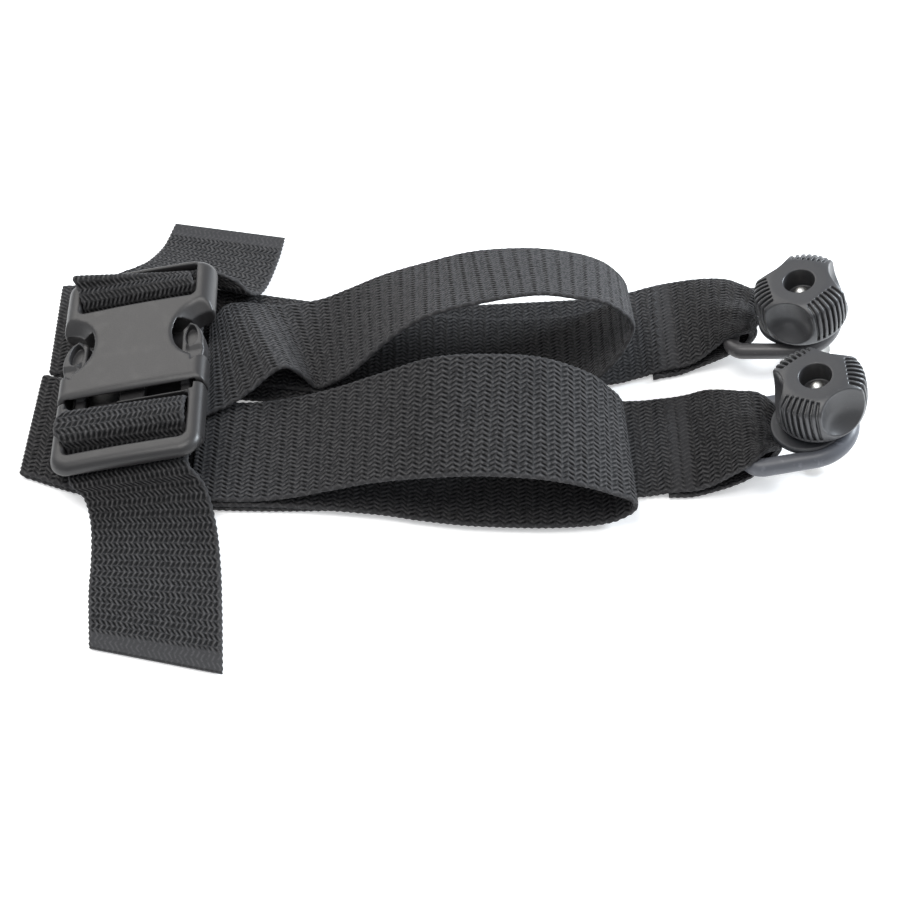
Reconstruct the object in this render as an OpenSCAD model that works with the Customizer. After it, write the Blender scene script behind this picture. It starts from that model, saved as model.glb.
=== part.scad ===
// Waist and chest belt of a breathing apparatus: two webbing straps, a side release buckle,
// and at the end of each strap a coated steel ring with a clamp bolt and a three-lobed knob.
// Frame: +X along the straps towards the knobs, +Y away from the near strap, +Z up.

/* [Webbing] */
// Width of the webbing
web_w = 50; // [40:1:50]
// Thickness of one layer of webbing
web_t = 1.6; // [1.2:0.1:1.6]
// Thickness of the sewn double end
sewn_t = 3.4; // [3:0.1:3.6]

/* [Buckle] */
// Outer width of the buckle
buckle_w = 59; // [59:0.5:60]
// Length of the closed buckle
buckle_l = 102; // [102:0.5:103]
// Thickness of the buckle
buckle_t = 12; // [11:0.5:12]
// Lift of the buckle's right side, in degrees
buckle_roll = 12; // [0:0.5:12]
// Turn of the buckle seen from above, in degrees
buckle_yaw = 2; // [0:0.5:5]

/* [Ring] */
// Diameter of the coated rod
rod_d = 6.6; // [5:0.1:6.6]
// Width of the ring between rod centres
ring_w = 30.4; // [28:0.1:32]
// Length of the ring between rod centres
ring_l = 39.4; // [36:0.1:42]
// Thickness of the eye plate
plate_t = 2.8; // [2:0.1:3]

/* [Bolt and knob] */
// Nominal diameter of the clamp bolt
bolt_d = 6; // [5:0.5:6]
// Diameter of the bolt's disc head
head_d = 16; // [14:0.5:18]
// Thickness of the bolt's disc head
head_t = 3.4; // [2.5:0.1:3.4]
// Diameter over the knob's lobes
knob_d = 36; // [34:0.5:37]
// Height of the knob
knob_h = 19.5; // [18:0.5:21]
// Lean of the bolt towards the straps, in degrees
lean = 15; // [15:0.5:15.5]

/* [Hidden] */
$fn = 48;

// The middle of the part's footprint, measured from the frame that the layout below uses.
middle = [-3.23, 11.53, 0];

// Width of webbing that the stations of the straps are given for.
full_w = 50;

// Heights of the middle of the first, second and third layer of a flat pile of webbing.
layer1 = 0.8;
layer2 = 2.6;
layer3 = 4.4;

// Buckle: its centre, half sizes and windows, in its own frame (x across, y along, z up).
buckle_at = [-121, 24.7, 19.9];
half_w = buckle_w / 2;
half_l = buckle_l / 2;
half_t = buckle_t / 2;
slot_w = 23.6;
crimped_w = 46.4;
seam_y = -17.5;
seam_gap = 0.5;
near_window = [-43.3, -20.7];
far_window = [30, 47.8];
bar_r = 2;
bar_z = 1.5;
near_bar_y = -32;
far_bar_y = 38.5;
cavity_w = 26;
cavity_h = 3.8;
cavity_end = 19;
cut_r = 9.2;
cut_x = 26.4;
cut_y = 7.6;
catch_slope = 0.7;
catch_y = -1.6;
arm_root = [21, -16.8];
arm_h = 3.2;

// Bolt centres at the height of the ring, and where each ring's round end sits beside its bolt.
near_bolt_at = [140.2, -2.4, 19.5];
far_bolt_at = [140.2, 47.4, 19.5];
near_ring_shift = [-5.5, -2.6];
far_ring_shift = [-4.2, 3.2];
near_ring_yaw = 0;
far_ring_yaw = -14;
ring_r = ring_w / 2;
ring_corner = 6;
bar_half = ring_r - ring_corner;
bar_u = ring_r - ring_l;
plate_r = 15.5;
plate_w = 1.7;
washer_w = 4.6;
washer_t = 1.5;
knob_w = 6.2;
head_w = -17.9;
shank_top = 18.5;
insert_r = 5;
insert_t = 9.8;
sleeve_r = rod_d / 2 + 0.08;

// ---------- helpers ----------

function turn_z(p, a) = [p.x * cos(a) - p.y * sin(a), p.x * sin(a) + p.y * cos(a), p.z];
function turn_y(p, a) = [p.x * cos(a) + p.z * sin(a), p.y, p.z * cos(a) - p.x * sin(a)];

// A point of the buckle's frame in the layout's frame.
function on_buckle(p) = buckle_at + turn_z(turn_y(p, -buckle_roll), buckle_yaw);

// A point of a bolt's frame in the layout's frame.
function on_bolt(p, at) = at + turn_y(p, -lean);

// A pair of edge points of a strap that passes square through the buckle.
function across(y, z) = [on_buckle([-crimped_w / 2, y, z]), on_buckle([crimped_w / 2, y, z])];

function spline(a, b, c, d, t) =
    0.5 * (2 * b + (c - a) * t + (2 * a - 5 * b + 4 * c - d) * t * t
        + (3 * b - a - 3 * c + d) * t * t * t);

// The same stations for webbing of width web_w; the lists below are for full_w.
function fit(s) = [for (p = s) let (m = (p[0] + p[1]) / 2, k = web_w / full_w)
    [m + (p[0] - m) * k, m + (p[1] - m) * k]];

// Smooth stations through the pairs of edge points in s, n to each gap.
function smooth(s, n) = let (last = len(s) - 1) [
    for (i = [0 : last - 1], k = [0 : n - 1])
        [for (e = [0, 1])
            spline(s[max(i - 1, 0)][e], s[i][e], s[i + 1][e], s[min(i + 2, last)][e], k / n)],
    s[last]];

function unit(v) = v / norm(v);

// The four corners of a strap at station i: thickness is square to the run and to the width.
function corners(s, i, t) = let (
    last = len(s) - 1,
    run = (s[min(i + 1, last)][0] + s[min(i + 1, last)][1])
        - (s[max(i - 1, 0)][0] + s[max(i - 1, 0)][1]),
    up = unit(cross(s[i][1] - s[i][0], run)) * t / 2)
    [s[i][0] - up, s[i][1] - up, s[i][1] + up, s[i][0] + up];

// A closed strip of thickness t through the stations s, each a pair of edge points.
module strip(s, t) {
    n = len(s);
    points = [for (i = [0 : n - 1]) each corners(s, i, t)];
    sides = [for (i = [0 : n - 2], k = [0 : 3])
        let (a = 4 * i + k, b = 4 * i + (k + 1) % 4) each [[a, b, b + 4], [a, b + 4, a + 4]]];
    polyhedron(points, concat(
        [[2, 1, 0], [3, 2, 0]], sides,
        [[4 * n - 4, 4 * n - 3, 4 * n - 2], [4 * n - 4, 4 * n - 2, 4 * n - 1]]));
}

module place() {
    translate(-middle) children();
}

module at_buckle() {
    place() translate(buckle_at) rotate([0, -buckle_roll, buckle_yaw]) children();
}

module at_bolt(at) {
    place() translate(at) rotate([0, -lean, 0]) children();
}

module at_ring(at, shift, yaw) {
    at_bolt(at) translate([shift.x, shift.y, 0]) rotate([0, 0, yaw]) children();
}

// ---------- buckle ----------

// A rounded rectangle about the middle of x, from y0 to y1.
module rounded(w, y0, y1, r) {
    union() {
        translate([-w / 2 + r, y0]) square([w - 2 * r, y1 - y0]);
        translate([-w / 2, y0 + r]) square([w, y1 - y0 - 2 * r]);
        for (x = [-w / 2 + r, w / 2 - r], y = [y0 + r, y1 - r]) translate([x, y]) circle(r);
    }
}

// A bar along y with a rounded section, from y0 to y1.
module plank(w, t, r, y0, y1) {
    translate([0, y1, 0]) rotate([90, 0, 0]) linear_extrude(y1 - y0) rounded(w, -t / 2, t / 2, r);
}

// A bar across the buckle that the webbing passes over.
module cross_bar(y) {
    translate([-slot_w - 0.5, y, bar_z]) rotate([0, 90, 0]) cylinder(r = bar_r, h = 2 * slot_w + 1);
}

// A box as wide as the windows, between y0 and y1 and between z0 and z1.
module slot(y0, y1, z0, z1) {
    translate([-slot_w, y0, z0]) cube([2 * slot_w, y1 - y0, z1 - z0]);
}

module female_body() {
    big = half_t + 1;
    color("#242527") at_buckle() union() {
        difference() {
            intersection() {
                plank(buckle_w, buckle_t, 3.4, seam_y, half_l);
                translate([0, 0, -half_t]) linear_extrude(buckle_t) union() {
                    translate([-half_w, seam_y]) square([buckle_w, 30]);
                    rounded(buckle_w, 0, half_l, 8);
                }
            }
            // the room that the arms and the tongue slide into
            translate([-cavity_w, seam_y - 1, -cavity_h])
                cube([2 * cavity_w, cavity_end - seam_y + 1, 2 * cavity_h]);
            // side openings, with the sloping catch face at their near end
            for (side = [-1, 1]) {
                translate([side * cut_x, cut_y, -big]) cylinder(r = cut_r, h = 2 * big);
                translate([0, 0, -big]) linear_extrude(2 * big)
                    polygon([[side * 24, catch_y + (24 - half_w) * catch_slope],
                        [side * 31, catch_y + (31 - half_w) * catch_slope],
                        [side * 31, cut_y + cut_r], [side * cut_x, cut_y + cut_r]]);
            }
            slot(far_window[0], far_window[1], -big, big);
            // the end bar is thinner than the rails beside it
            slot(far_window[1] - 1, half_l + 1, -big, 0.3);
        }
        cross_bar(far_bar_y);
    }
}

module plug_frame() {
    big = half_t + 1;
    color("#242527") at_buckle() union() {
        difference() {
            intersection() {
                plank(buckle_w, 11, 3, -half_l, seam_y - seam_gap);
                translate([0, 0, -half_t]) linear_extrude(buckle_t) union() {
                    rounded(buckle_w, -half_l, -25, 7);
                    translate([-half_w, -32]) square([buckle_w, 30]);
                }
            }
            slot(near_window[0], near_window[1], -big, big);
            translate([-half_w - 1, -half_l - 1, -big]) cube([buckle_w + 2, half_l + near_window[0] + 2, big]);
            // the cross plate is thinner than the rails, and stops short of the arms
            slot(near_window[1] - 1, seam_y, 3, big);
            slot(near_window[1] - 1, seam_y, -big, -3);
            for (side = [-1, 1]) translate([side * 21 - 4, arm_root.y - 2.4, -big]) cube([8, 6, 2 * big]);
        }
        cross_bar(near_bar_y);
        // tongue between the arms
        translate([-5, near_window[1] + 1, -3]) cube([10, 31, 6]);
    }
}

// The right-hand sprung arm in the buckle's frame, with its thumb pad in the side opening.
module sprung_arm() {
    translate([0, 0, -arm_h]) linear_extrude(2 * arm_h) union() {
        translate(arm_root) circle(2);
        polygon([[19.2, arm_root.y + 0.3], [22.8, arm_root.y + 0.3], [23, -6], [24.2, -4.66], [27.9, -2.07],
            [28.4, 1], [28.1, 6.5], [26.9, 10.5], [25.1, 13.4], [22.5, 15.3], [20.5, 15], [19, 13]]);
    }
}

module arm_left() {
    color("#1d1e20") at_buckle() mirror([1, 0, 0]) sprung_arm();
}

module arm_right() {
    color("#1d1e20") at_buckle() sprung_arm();
}

// ---------- straps ----------

strap_colour = "#1b1b1d";

near_lower = [[[84, -23, layer1], [84, 24, layer1]], [[60, -25, layer1], [60, 24, layer1]],
    [[0, -29, layer1], [0, 20.5, layer1]], [[-60, -31, layer1], [-60, 19, layer1]],
    [[-100, -29.5, layer1], [-98, 20, layer1]], [[-135, -24.5, layer1], [-130, 25.5, layer1]],
    [[-160, -16, layer1], [-158, 34, layer1]]];

near_middle = [[[-160, -16, layer1], [-158, 34, layer1]],
    [[-160.6, -16, 1.2], [-158.6, 34, 1.2]], [[-161, -16, 1.7], [-159, 34, 1.7]],
    [[-160.6, -16, 2.2], [-158.6, 34, 2.2]], [[-160, -16, layer2], [-158, 34, layer2]],
    [[-135, -24.5, layer2], [-130, 25.5, layer2]], [[-100, -29.5, layer2], [-98, 20, layer2]],
    [[-60, -31, layer2], [-60, 19, layer2]], [[-28, -34, layer2], [-28, 16, layer2]],
    [[-11, -37, layer2], [-11, 13, layer2]], [[8, -39.5, layer2], [8, 10.5, layer2]],
    [[34, -40.5, layer2], [34, 9.5, layer2]], [[52, -39.5, layer2], [52, 10.5, layer2]]];

near_loop = [[[52, -39.5, layer2], [52, 10.5, layer2]], [[61, -38.5, 3.8], [60, 11.5, 4.4]],
    [[67, -37.5, 7.5], [64.2, 12, 8]], [[68.3, -37, 11], [65.4, 12, 13]],
    [[66, -37, 14.5], [63.7, 12, 18]], [[60, -37.5, 18], [60, 12, 22.5]],
    [[51, -38, 22.5], [52, 12, 30.5]], [[34, -38, 27.3], [35, 12, 38.5]],
    [[13, -37.5, 28.7], [16, 12.5, 40]], [[-7, -35.5, 25.5], [-6, 13.5, 37.3]],
    [[-28, -32, 18.5], [-27, 15.5, 26]], [[-45, -30, 11.5], [-44, 18, 15.5]],
    [[-60, -29.5, 6.5], [-60, 20, 8]], [[-75, -29.5, layer3], [-74, 20, 5]],
    [[-88, -29, layer3], [-88, 20.5, layer3]], [[-97, -26.5, layer3], [-97, 22, layer3]]];

far_lower = [[[84, 39, layer1], [84, 87, layer1]], [[60, 33, layer1], [58, 81.5, layer1]],
    [[13, 28, layer1], [13, 78, layer1]], [[-50, 27, layer1], [-50, 77, layer1]],
    [[-100, 31, layer1], [-98, 81, layer1]], [[-130, 36, layer1], [-128, 86, layer1]],
    [[-156, 38.5, layer1], [-157, 88, layer1]]];

far_middle = [[[-156, 38.5, layer1], [-157, 88, layer1]],
    [[-156.6, 38.5, 1.2], [-157.6, 88, 1.2]], [[-157, 38.5, 1.7], [-158, 88, 1.7]],
    [[-156.6, 38.5, 2.2], [-157.6, 88, 2.2]], [[-156, 38.5, layer2], [-157, 88, layer2]],
    [[-130, 36, layer2], [-128, 86, layer2]], [[-100, 30.5, layer2], [-98, 80.5, layer2]],
    [[-50, 26, layer2], [-50, 76, layer2]], [[3, 19.5, layer2], [3, 69, layer2]],
    [[30, 18.5, 3.2], [30, 68, layer2]]];

far_loop = [[[30, 18.5, 3.2], [30, 68, layer2]], [[48, 20, 9.5], [48, 69, 3.4]],
    [[58, 22.5, 17.5], [59, 71, 5]], [[64, 25, 24], [65, 73, 6.8]],
    [[67.5, 27.5, 29.5], [69.5, 74.5, 10]], [[69.6, 30, 34.5], [70.5, 75, 14.2]],
    [[68.7, 30.5, 39], [69.5, 75, 17.5]], [[65, 30.5, 43.8], [66.5, 75, 22]],
    [[58, 30.5, 49], [60, 75, 28]], [[47, 30.5, 51.7], [49, 75, 32.5]],
    [[33, 31, 53], [32, 75.5, 34.5]], [[14, 30, 50.3], [10, 75.5, 33]],
    [[-8, 28, 44.5], [-9, 75, 27.5]], [[-23, 27, 33], [-26, 75.5, 20.5]],
    [[-37, 26, 17], [-41, 75.5, 12.5]], [[-46, 27, 8.5], [-53, 75, 7]],
    [[-52, 27.5, 5], [-68, 74, 4.6]], [[-57, 27.5, 12], [-74, 73.5, 5]],
    [[-63, 26, 18.5], [-80, 73.5, 6]], [[-69, 24, 17], [-86, 72.5, 7.5]],
    [[-77, 19, 12.5], [-91, 70, 8.5]], [[-85, 14.5, 9.5], [-94, 64, 9]],
    [[-95, 9.5, 8.4], [-96, 58, 8.4]]];

// Up through the inner slot, over the plug's bar, down, and out under the end bar.
near_wrap = [across(-18.6, -7.4), across(-21.5, -5.6), across(-23.8, -2), across(-26, 1.8),
    across(-28.6, 4.1), across(-32, 4.8), across(-35.4, 4.1), across(-38.4, 2), across(-41, -0.5),
    across(-44.2, -2), across(-50.5, -3)];

near_end = [[[-137.5, -31.5, 9], [-90, -29.5, 14]], [[-132.5, -40, 4.5], [-86, -41, 7]],
    [[-131, -54, 1.5], [-83.5, -56, 2.4]], [[-130, -70, 1.2], [-81.5, -75, 1.2]],
    [[-127, -93, layer1], [-79, -104, layer1]]];

far_wrap = [across(21, -7.9), across(28, -8.2), across(31.6, -6.6), across(33.4, -2.4),
    across(34.5, 2), across(36.2, 4.2), across(38.5, 4.8), across(41.2, 4.2), across(43.6, 2.2),
    across(45.6, -0.5), across(48.2, -1.7), across(52.5, -2.6)];

far_end = [[[-136, 83, 13], [-86.5, 76.5, 17]], [[-129, 89, 11.5], [-79.5, 74, 11]],
    [[-124.5, 97, 8], [-75.5, 82, 6.5]], [[-120.5, 111.5, 2.5], [-72, 101.5, 2.6]],
    [[-117.5, 127, layer1], [-70, 118, layer1]]];

near_gather = [[[107.4, -14, 11.4], [107.4, 5.5, 12]], [[104, -20, 9.6], [104, 13.5, 10.6]],
    [[98, -21.5, 6.8], [98, 21, 8.4]], [[91, -22.5, 4], [91, 24, 5]],
    [[84, -23, 3.4], [84, 24, 3.4]]];

far_gather = [[[107.6, 49.3, 11.4], [111.2, 67.5, 12.2]], [[104, 42, 9.8], [106, 76, 10.8]],
    [[98, 40.5, 7], [99.2, 82, 8.4]], [[91, 40, 4.2], [91.5, 85.5, 5.4]],
    [[84, 39, 3.4], [84, 87, 3.4]]];

// The end of a strap: gathered, wrapped round the ring's bar and sewn to itself.
module sewn_end(gather, at, shift, yaw) {
    color(strap_colour) difference() {
        union() {
            place() strip(fit(gather), sewn_t);
            at_ring(at, shift, yaw) translate([bar_u, -bar_half + 0.2, 0]) rotate([-90, 0, 0])
                cylinder(r = rod_d / 2 + 2.1, h = 2 * bar_half - 0.4);
        }
        at_ring(at, shift, yaw) translate([bar_u, -bar_half - 4, 0]) rotate([-90, 0, 0])
            cylinder(r = sleeve_r, h = 2 * bar_half + 8);
    }
}

module near_sewn_end() {
    sewn_end(near_gather, near_bolt_at, near_ring_shift, near_ring_yaw);
}

module far_sewn_end() {
    sewn_end(far_gather, far_bolt_at, far_ring_shift, far_ring_yaw);
}

module near_lower_run() {
    color(strap_colour) place() strip(fit(near_lower), web_t);
}

module near_middle_run() {
    color(strap_colour) place() strip(fit(near_middle), web_t);
}

module near_arch() {
    color(strap_colour) place() strip(smooth(fit(near_loop), 2), web_t);
}

module far_lower_run() {
    color(strap_colour) place() strip(fit(far_lower), web_t);
}

module far_middle_run() {
    color(strap_colour) place() strip(fit(far_middle), web_t);
}

module far_arch() {
    color(strap_colour) place() strip(smooth(fit(far_loop), 2), web_t);
}

// The folded layers under the buckle, from y0 to y1 of its frame: a wedge that it rests on.
module fold_wedge(y0, y1, x0, x1, foot) {
    top = -half_t - 0.5;
    low = [for (x = [x0, x1], y = [y0, y1]) let (p = on_buckle([x, y, top])) [p.x, p.y, foot]];
    high = [for (x = [x0, x1], y = [y0, y1]) on_buckle([x, y, top])];
    polyhedron(concat(low, high), [[0, 2, 3], [0, 3, 1], [4, 5, 7], [4, 7, 6], [0, 1, 5], [0, 5, 4],
        [2, 6, 7], [2, 7, 3], [0, 4, 6], [0, 6, 2], [1, 3, 7], [1, 7, 5]]);
}

module near_fold() {
    color(strap_colour) place() fold_wedge(-18, 0, -25, 20, layer2 + 1);
}

module far_fold() {
    color(strap_colour) place() fold_wedge(2, 19, -25, 20, layer2 + 1);
}

module near_tail() {
    color(strap_colour) place() strip(smooth(fit(concat(near_wrap, near_end)), 2), web_t);
}

module far_tail() {
    color(strap_colour) place() strip(smooth(fit(concat(far_wrap, far_end)), 2), web_t);
}

// Two rows of thread across a sewn end, standing just proud of the webbing.
module thread_rows(gather) {
    for (k = [0, 1]) {
        a = gather[4][0] + (gather[3][0] - gather[4][0]) * (0.3 + 0.3 * k);
        b = gather[4][1] + (gather[3][1] - gather[4][1]) * (0.3 + 0.3 * k);
        rise = [0, 0, sewn_t / 2 + 0.1];
        strip([[a + rise + [0.5, 2, 0], b + rise + [0.5, -2, 0]],
            [a + rise + [-0.5, 2, 0], b + rise + [-0.5, -2, 0]]], 0.6);
    }
}

module near_stitching() {
    color("#2a2a2c") place() thread_rows(near_gather);
}

module far_stitching() {
    color("#2a2a2c") place() thread_rows(far_gather);
}

// ---------- ring, bolt and knob ----------

// A closed loop of rod: round at the bolt, with a straight bar for the webbing.
module rod_loop() {
    color("#2b2c2e") union() {
        rotate([0, 0, -90]) rotate_extrude(angle = 180) translate([ring_r, 0]) circle(d = rod_d);
        for (side = [-1, 1]) {
            translate([bar_u + ring_corner, side * ring_r, 0]) rotate([0, 90, 0])
                cylinder(d = rod_d, h = -bar_u - ring_corner);
            translate([bar_u + ring_corner, side * bar_half, 0]) rotate([0, 0, side > 0 ? 90 : 180])
                rotate_extrude(angle = 90) translate([ring_corner, 0]) circle(d = rod_d);
        }
        translate([bar_u, -bar_half, 0]) rotate([-90, 0, 0]) cylinder(d = rod_d, h = 2 * bar_half);
    }
}

// A plate on the ring's round end, with the hole that the bolt slides in.
module eye_plate(shift, yaw) {
    hole = turn_z([-shift.x, -shift.y, 0], -yaw);
    color("#202123") translate([0, 0, plate_w]) difference() {
        cylinder(r = plate_r, h = plate_t);
        translate([hole.x, hole.y, -1]) cylinder(d = bolt_d + 0.16, h = plate_t + 2);
    }
}

module clamp_bolt() {
    color("#c9c9c6") union() {
        translate([0, 0, head_w]) cylinder(d = head_d, h = head_t);
        translate([0, 0, head_w + head_t / 2]) cylinder(d = bolt_d, h = shank_top - head_w - head_t / 2);
    }
}

module washer() {
    color("#b5b5b2") translate([0, 0, washer_w]) difference() {
        cylinder(r = 9, h = washer_t);
        translate([0, 0, -1]) cylinder(d = bolt_d + 0.4, h = washer_t + 2);
    }
}

module insert() {
    color("#b5b5b2") translate([0, 0, knob_w]) difference() {
        cylinder(r = insert_r, h = insert_t);
        translate([0, 0, -1]) cylinder(d = bolt_d + 0.16, h = insert_t + 2);
    }
}

// Three ribbed lobes with three scooped hollows between them; first is the angle of one lobe.
module knob(first) {
    slit = 1;
    color("#323335") translate([0, 0, knob_w]) difference() {
        rotate_extrude() polygon([[0, 0], [16.6, 0], [17.6, 1], [knob_d / 2, 6],
            [knob_d / 2, knob_h - 4.5], [knob_d / 2 - 0.7, knob_h - 2.2],
            [knob_d / 2 - 2.4, knob_h - 0.6], [knob_d / 2 - 4.4, knob_h], [0, knob_h]]);
        for (k = [0 : 2]) rotate([0, 0, first + 60 + 120 * k]) {
            translate([25.5, 0, knob_h - 7]) sphere(r = 13.5, $fn = 48);
            translate([25.5, 0, knob_h - 7]) cylinder(r1 = 13.5, r2 = 15.5, h = 8);
        }
        for (k = [0 : 2], j = [-3 : 3]) rotate([0, 0, first + 120 * k])
            translate([14.8 - abs(j) * 0.5, j * 2.4 - slit / 2, 2.5]) cube([8, slit, knob_h]);
        translate([0, 0, -1]) cylinder(r = insert_r, h = insert_t + 1);
        translate([0, 0, -1]) cylinder(d = bolt_d + 1.4, h = knob_h);
        translate([0, 0, 10.8]) cylinder(r = 6, h = knob_h);
    }
}

module near_ring() {
    at_ring(near_bolt_at, near_ring_shift, near_ring_yaw) rod_loop();
}

module far_ring() {
    at_ring(far_bolt_at, far_ring_shift, far_ring_yaw) rod_loop();
}

module near_eye_plate() {
    at_ring(near_bolt_at, near_ring_shift, near_ring_yaw) eye_plate(near_ring_shift, near_ring_yaw);
}

module far_eye_plate() {
    at_ring(far_bolt_at, far_ring_shift, far_ring_yaw) eye_plate(far_ring_shift, far_ring_yaw);
}

module near_bolt() {
    at_bolt(near_bolt_at) clamp_bolt();
}

module far_bolt() {
    at_bolt(far_bolt_at) clamp_bolt();
}

module near_washer() {
    at_bolt(near_bolt_at) washer();
}

module far_washer() {
    at_bolt(far_bolt_at) washer();
}

module near_insert() {
    at_bolt(near_bolt_at) insert();
}

module far_insert() {
    at_bolt(far_bolt_at) insert();
}

module near_knob() {
    at_bolt(near_bolt_at) knob(0);
}

module far_knob() {
    at_bolt(far_bolt_at) knob(66);
}

female_body();
plug_frame();
arm_left();
arm_right();
near_sewn_end();
near_lower_run();
near_middle_run();
near_arch();
near_fold();
near_tail();
far_sewn_end();
far_lower_run();
far_middle_run();
far_arch();
far_fold();
far_tail();
near_stitching();
far_stitching();
near_ring();
near_eye_plate();
near_bolt();
near_washer();
near_insert();
near_knob();
far_ring();
far_eye_plate();
far_bolt();
far_washer();
far_insert();
far_knob();
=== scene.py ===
"""The looks of the breathing apparatus belt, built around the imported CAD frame. Lengths in the lists are
millimetres in the layout's frame, which is the row frame moved by MIDDLE."""

import math

import bmesh
import bpy
import numpy as np
import openvdb
from mathutils import Matrix, Vector


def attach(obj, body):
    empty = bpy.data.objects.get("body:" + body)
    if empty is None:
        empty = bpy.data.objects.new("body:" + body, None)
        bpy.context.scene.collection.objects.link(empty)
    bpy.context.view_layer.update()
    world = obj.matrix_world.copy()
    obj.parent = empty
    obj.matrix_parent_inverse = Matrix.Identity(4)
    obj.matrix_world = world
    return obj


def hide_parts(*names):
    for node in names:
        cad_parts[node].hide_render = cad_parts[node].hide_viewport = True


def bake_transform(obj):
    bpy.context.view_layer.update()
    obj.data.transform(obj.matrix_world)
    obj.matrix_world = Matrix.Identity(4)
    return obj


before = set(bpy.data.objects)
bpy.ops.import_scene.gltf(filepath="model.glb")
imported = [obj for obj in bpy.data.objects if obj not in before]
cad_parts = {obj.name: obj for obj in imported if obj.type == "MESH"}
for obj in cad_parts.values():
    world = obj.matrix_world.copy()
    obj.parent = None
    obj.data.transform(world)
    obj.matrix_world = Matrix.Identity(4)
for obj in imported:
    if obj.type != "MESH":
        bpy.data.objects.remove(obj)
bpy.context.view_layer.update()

MIDDLE = np.array([-3.23, 11.53, 0.0])  # the row frame's origin, in the layout's frame

# the webbing's size and its herringbone, in millimetres; the rows run along the strap, the ribs across it
WEB_W, WEB_T = 50.0, 1.7
ROW, RIB = 2.0, 2.6
ZIGZAG = 0.75  # how far a row swings to each side
RELIEF = 0.5  # depth of the pits
VALLEY, GAP = 1.5, 0.45  # powers that shape the valleys between rows and the gaps between ribs


def row(points):
    """Layout millimetres to row metres."""
    return (np.asarray(points, float) - MIDDLE) / 1000.0


# ---------- camera, lights, floor ----------


def camera():
    data = bpy.data.cameras.new("camera")
    data.lens, data.sensor_width = 76.0, 36.0
    data.clip_start, data.clip_end = 0.01, 20.0
    cam = bpy.data.objects.new("camera", data)
    bpy.context.scene.collection.objects.link(cam)
    down, distance = math.radians(49.0), 0.73
    target = Vector(row([0, 0, 0]))
    cam.location = target + distance * Vector((0, -math.cos(down), math.sin(down)))
    cam.rotation_euler = (math.pi / 2 - down, 0, 0)
    bpy.context.scene.camera = cam


def area_light(name, size, power, location, colour):
    """A square softbox that faces the origin."""
    data = bpy.data.lights.new(name, "AREA")
    data.shape, data.size, data.energy, data.color = "SQUARE", size, power, colour
    light = bpy.data.objects.new(name, data)
    bpy.context.scene.collection.objects.link(light)
    light.location = location
    light.rotation_euler = (-Vector(location)).to_track_quat("-Z", "Y").to_euler()


def studio():
    scene = bpy.context.scene
    scene.view_settings.view_transform = "Standard"
    world = bpy.data.worlds.new("studio")
    scene.world = world
    world.use_nodes = True
    sky = world.node_tree.nodes["Background"].inputs
    sky["Color"].default_value = (0.93, 0.96, 1.0, 1)
    sky["Strength"].default_value = 0.62
    area_light("back_softbox", 0.9, 6.5, (-0.75, 0.95, 0.9), (1.0, 0.97, 0.93))
    area_light("side_softbox", 0.45, 21.0, (0.95, 0.4, 0.55), (0.86, 0.93, 1.0))
    area_light("top_softbox", 0.7, 8.5, (-0.3, -0.1, 1.2), (1.0, 0.985, 0.96))
    bpy.ops.mesh.primitive_plane_add(size=6, location=(0, 0, -0.0004))
    floor = bpy.context.object
    floor.name = "floor"
    floor.data.materials.append(floor_material())


# ---------- materials ----------


class Nodes:
    """Short calls that add and link the nodes of one material."""

    def __init__(self, name):
        self.material = bpy.data.materials.new(name)
        self.material.use_nodes = True
        self.tree = self.material.node_tree
        self.shader = self.tree.nodes["Principled BSDF"]

    def add(self, kind, **settings):
        node = self.tree.nodes.new("ShaderNode" + kind)
        for key, value in settings.items():
            setattr(node, key, value)
        return node

    def link(self, a, b):
        self.tree.links.new(a, b)

    def put(self, value, socket):
        if isinstance(value, (int, float)):
            socket.default_value = value
        else:
            self.link(value, socket)

    def math(self, operation, a, b=0.0, c=None):
        node = self.add("Math", operation=operation)
        self.put(a, node.inputs[0])
        self.put(b, node.inputs[1])
        if c is not None:
            self.put(c, node.inputs[2])
        return node.outputs[0]

    def noise(self, scale, detail=2.0, stretch=(1, 1, 1)):
        place = self.add("TexCoord")
        mapping = self.add("Mapping")
        mapping.inputs["Scale"].default_value = stretch
        self.link(place.outputs["Object"], mapping.inputs["Vector"])
        node = self.add("TexNoise")
        node.inputs["Scale"].default_value = scale
        node.inputs["Detail"].default_value = detail
        self.link(mapping.outputs[0], node.inputs["Vector"])
        return node.outputs["Fac"]

    def mix(self, factor, a, b):
        node = self.add("Mix", data_type="RGBA")
        self.put(factor, node.inputs["Factor"])
        for value, socket in ((a, node.inputs["A"]), (b, node.inputs["B"])):
            if isinstance(value, tuple):
                socket.default_value = (*value, 1)
            else:
                self.link(value, socket)
        return node.outputs["Result"]

    def ramp(self, value, low, high):
        """0 below low, 1 above high, smooth between."""
        node = self.add("MapRange", interpolation_type="SMOOTHSTEP")
        self.link(value, node.inputs["Value"])
        node.inputs["From Min"].default_value = low
        node.inputs["From Max"].default_value = high
        return node.outputs["Result"]

    def bump(self, height, distance):
        node = self.add("Bump")
        node.inputs["Distance"].default_value = distance
        node.inputs["Strength"].default_value = 1.0
        self.link(height, node.inputs["Height"])
        self.link(node.outputs[0], self.shader.inputs["Normal"])

    def set(self, **values):
        """Plain values for the shader's inputs, with _ for the space in a name."""
        for key, value in values.items():
            self.shader.inputs[key.replace("_", " ")].default_value = value


def floor_material():
    m = Nodes("floor_paper")
    grain = m.noise(60.0, 3.0)
    m.link(m.mix(grain, (0.9, 0.9, 0.9), (0.93, 0.93, 0.93)), m.shader.inputs["Base Color"])
    m.set(Roughness=0.9, Specular_IOR_Level=0.1, Emission_Strength=0.35)
    m.shader.inputs["Emission Color"].default_value = (1, 1, 1, 1)
    return m.material


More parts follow.
